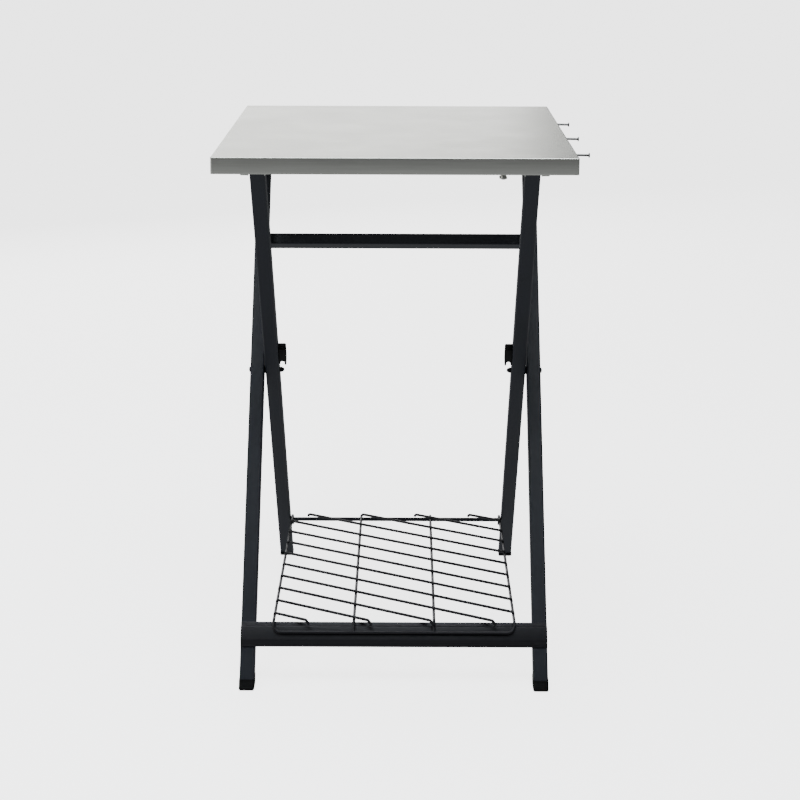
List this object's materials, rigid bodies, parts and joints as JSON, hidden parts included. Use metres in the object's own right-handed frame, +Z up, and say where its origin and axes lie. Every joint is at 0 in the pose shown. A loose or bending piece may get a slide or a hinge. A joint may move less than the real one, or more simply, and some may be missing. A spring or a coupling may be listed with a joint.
{
  "type": "folding side table",
  "caption": "Folding side table: stainless worktop on scissor legs of black square tube, with a wire shelf below and hanging pegs at one side.",
  "frame": {"origin": "on the floor, under the middle of the whole table's box (pegs included), with the table open", "axes": "+Z up; +Y to the back; -Y is the side where the worktop is hinged to the inner frame; +X to the right, towards the hanging pegs"},
  "size_m": [0.6104, 0.7298, 0.9],
  "materials": {
    "stainless_sheet": "satin",
    "black_powder_coat": "semi-gloss",
    "black_moulding": "matte",
    "fastener_steel": "semi-gloss",
    "peg_steel": "satin"
  },
  "bodies": {
    "outer_frame": {"outer_leg_left": "black_powder_coat", "outer_leg_right": "black_powder_coat", "outer_leg_cap_left": "black_moulding", "outer_leg_cap_right": "black_moulding", "front_foot_left": "black_moulding", "front_foot_right": "black_moulding", "pivot_bolt_left": "fastener_steel", "pivot_bolt_right": "fastener_steel", "pivot_washer_left": "black_moulding", "pivot_washer_right": "black_moulding", "pivot_nut_left": "fastener_steel", "pivot_nut_right": "fastener_steel", "upper_crossbar": "black_powder_coat", "front_shelf_rail": "black_powder_coat"},
    "inner_frame": {"inner_leg_left": "black_powder_coat", "inner_leg_right": "black_powder_coat", "inner_leg_cap_left": "black_moulding", "inner_leg_cap_right": "black_moulding", "rear_foot_left": "black_moulding", "rear_foot_right": "black_moulding", "hinge_pin_left": "fastener_steel", "hinge_pin_right": "fastener_steel", "lock_spring_left": "fastener_steel", "lock_spring_right": "fastener_steel", "rear_shelf_rod": "black_powder_coat"},
    "leg_lock_left": {"leg_lock_left": "black_moulding", "lock_pin_left": "fastener_steel"},
    "leg_lock_right": {"leg_lock_right": "black_moulding", "lock_pin_right": "fastener_steel"},
    "worktop": {"worktop_pan": "stainless_sheet", "underside_rib_left": "stainless_sheet", "underside_rib_right": "stainless_sheet", "hinge_bracket_left": "stainless_sheet", "hinge_bracket_right": "stainless_sheet", "catch_bracket_left": "stainless_sheet", "catch_bracket_right": "stainless_sheet", "hook_rail": "peg_steel", "hook_peg_front": "peg_steel", "hook_peg_middle": "peg_steel", "hook_peg_rear": "peg_steel", "rail_screw_front": "fastener_steel", "rail_screw_rear": "fastener_steel", "latch_rivet": "fastener_steel"},
    "stow_latch": {"stow_latch": "stainless_sheet"},
    "shelf": {"wire_shelf": "black_powder_coat"}
  },
  "joints": [
    {"name": "leg_fold", "type": "hinge", "parent": "outer_frame", "child": "inner_frame", "pos_m": [-0.01517, -0.00374, 0.468], "axis": [-1, 0, 0], "range_deg": [0, 69.5]},
    {"name": "top_lift", "type": "hinge", "parent": "inner_frame", "child": "worktop", "pos_m": [-0.01517, -0.29188, 0.8795], "axis": [1, 0, 0], "range_deg": [0, 48.65]},
    {"name": "lock_pull_left", "type": "slide", "parent": "inner_frame", "child": "leg_lock_left", "axis": [1, 0, 0], "range_m": [0, 0.005], "stiffness_N_per_m": 300, "springref_m": -0.004},
    {"name": "lock_pull_right", "type": "slide", "parent": "inner_frame", "child": "leg_lock_right", "axis": [-1, 0, 0], "range_m": [0, 0.005], "stiffness_N_per_m": 300, "springref_m": -0.004},
    {"name": "latch_turn", "type": "hinge", "parent": "worktop", "child": "stow_latch", "pos_m": [0.15583, -0.34814, 0.87], "axis": [0, 0, 1], "range_deg": [0, 90]},
    {"name": "shelf_lift", "type": "slide", "parent": "outer_frame", "child": "shelf", "axis": [0, 0, 1], "range_m": [0, 0.06]}
  ],
  "couplings": [
    {"joint": "top_lift", "follows": "leg_fold", "ratio": 0.7}
  ]
}
